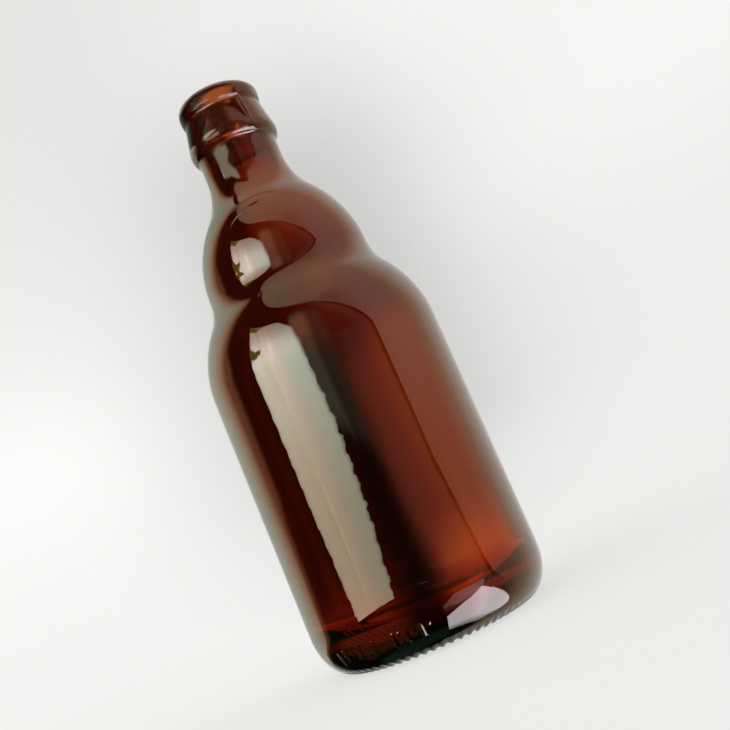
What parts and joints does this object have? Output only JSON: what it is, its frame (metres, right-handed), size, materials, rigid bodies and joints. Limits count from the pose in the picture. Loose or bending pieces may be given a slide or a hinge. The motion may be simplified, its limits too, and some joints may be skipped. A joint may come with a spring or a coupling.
{
  "type": "glass beer bottle",
  "caption": "Squat amber glass beer bottle, empty and open: round body, domed shoulder, bulb under a short neck, crown-cap mouth, ridged bearing edge.",
  "frame": {"origin": "centre of the base, on the plane that the bottle stands on", "axes": "+Z along the bottle's axis from the base to the mouth; the bottle is turned about Z, so X and Y are free; the side the picture shows faces -Y"},
  "size_m": [0.072, 0.072, 0.178],
  "materials": {
    "amber_glass": "glossy transparent amber-brown glass"
  },
  "bodies": {
    "root": {"bottle": "amber_glass"}
  },
  "joints": []
}
